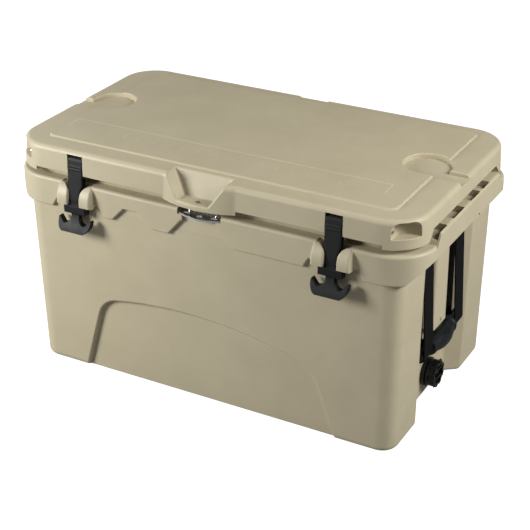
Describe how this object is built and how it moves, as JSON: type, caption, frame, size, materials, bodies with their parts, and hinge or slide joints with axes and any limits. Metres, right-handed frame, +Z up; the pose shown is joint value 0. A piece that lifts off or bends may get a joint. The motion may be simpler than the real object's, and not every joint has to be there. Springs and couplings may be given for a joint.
{
  "type": "cooler chest",
  "caption": "Foam-filled rotomoulded cooler chest with a hinged lid, rubber T latches, strap handles at both ends and a screw drain.",
  "frame": {"origin": "on the ground, under the middle of the overall box (latches and hinge lugs included)", "axes": "+X along the chest towards the drain end, -Y towards the latches, +Z up"},
  "size_m": [0.68, 0.3905, 0.3762],
  "materials": {
    "shell_polyethylene": "rotomoulded, lightly textured",
    "foam": "rigid poured foam",
    "plug_polyethylene": "moulded plug",
    "gasket_foam_rubber": "soft extruded seal",
    "latch_rubber": "moulded rubber",
    "webbing": "woven nylon",
    "grip_rubber": "moulded rubber",
    "foot_rubber": "moulded rubber",
    "drain_nylon": "moulded nylon",
    "seal_rubber": "moulded rubber",
    "stainless_steel": "stamped and brushed"
  },
  "bodies": {
    "body": {"body_foam_core": "foam", "body_foam_plug": "plug_polyethylene", "body_shell": "shell_polyethylene", "drain_fitting": "drain_nylon", "drain_gasket": "seal_rubber", "drain_nut": "drain_nylon", "foot_front_left": "foot_rubber", "foot_front_right": "foot_rubber", "foot_rear_left": "foot_rubber", "foot_rear_right": "foot_rubber", "foot_screws": "stainless_steel", "handle_rod_left": "stainless_steel", "handle_rod_right": "stainless_steel", "handle_stop_left": "plug_polyethylene", "handle_stop_right": "plug_polyethylene", "lock_plate": "stainless_steel", "lock_plate_screws": "stainless_steel"},
    "lid": {"hinge_pin_left": "stainless_steel", "hinge_pin_right": "stainless_steel", "latch_pin_left": "stainless_steel", "latch_pin_right": "stainless_steel", "lid_foam_core": "foam", "lid_foam_plug": "plug_polyethylene", "lid_gasket": "gasket_foam_rubber", "lid_shell": "shell_polyethylene"},
    "latch_left": {"latch_left": "latch_rubber"},
    "latch_right": {"latch_right": "latch_rubber"},
    "handle_left": {"handle_grip_left": "grip_rubber", "handle_strap_left_front": "webbing", "handle_strap_left_rear": "webbing"},
    "handle_right": {"handle_grip_right": "grip_rubber", "handle_strap_right_front": "webbing", "handle_strap_right_rear": "webbing"},
    "drain_seal": {"drain_seal": "seal_rubber"},
    "drain_cap": {"drain_cap": "drain_nylon"}
  },
  "joints": [
    {"name": "lid_hinge", "type": "hinge", "parent": "body", "child": "lid", "pos_m": [0, 0.1865, 0.343], "axis": [-1, 0, 0], "range_deg": [0, 100]},
    {"name": "latch_left_pivot", "type": "hinge", "parent": "lid", "child": "latch_left", "pos_m": [-0.2125, -0.166, 0.3575], "axis": [-1, 0, 0], "range_deg": [0, 100]},
    {"name": "latch_right_pivot", "type": "hinge", "parent": "lid", "child": "latch_right", "pos_m": [0.2125, -0.166, 0.3575], "axis": [-1, 0, 0], "range_deg": [0, 100]},
    {"name": "handle_left_swing", "type": "hinge", "parent": "body", "child": "handle_left", "pos_m": [-0.296, 0.0105, 0.303], "axis": [0, 1, 0], "range_deg": [0, 60]},
    {"name": "handle_right_swing", "type": "hinge", "parent": "body", "child": "handle_right", "pos_m": [0.296, 0.0105, 0.303], "axis": [0, -1, 0], "range_deg": [0, 60]},
    {"name": "drain_cap_travel", "type": "slide", "parent": "body", "child": "drain_seal", "axis": [1, 0, 0], "range_m": [0, 0.0121]},
    {"name": "drain_cap_turn", "type": "hinge", "parent": "drain_seal", "child": "drain_cap", "pos_m": [0.3, 0.0105, 0.043], "axis": [1, 0, 0], "range_deg": [0, 1440]}
  ],
  "couplings": [
    {"joint": "drain_cap_travel", "follows": "drain_cap_turn", "m_per_rad": 0.00047746}
  ]
}
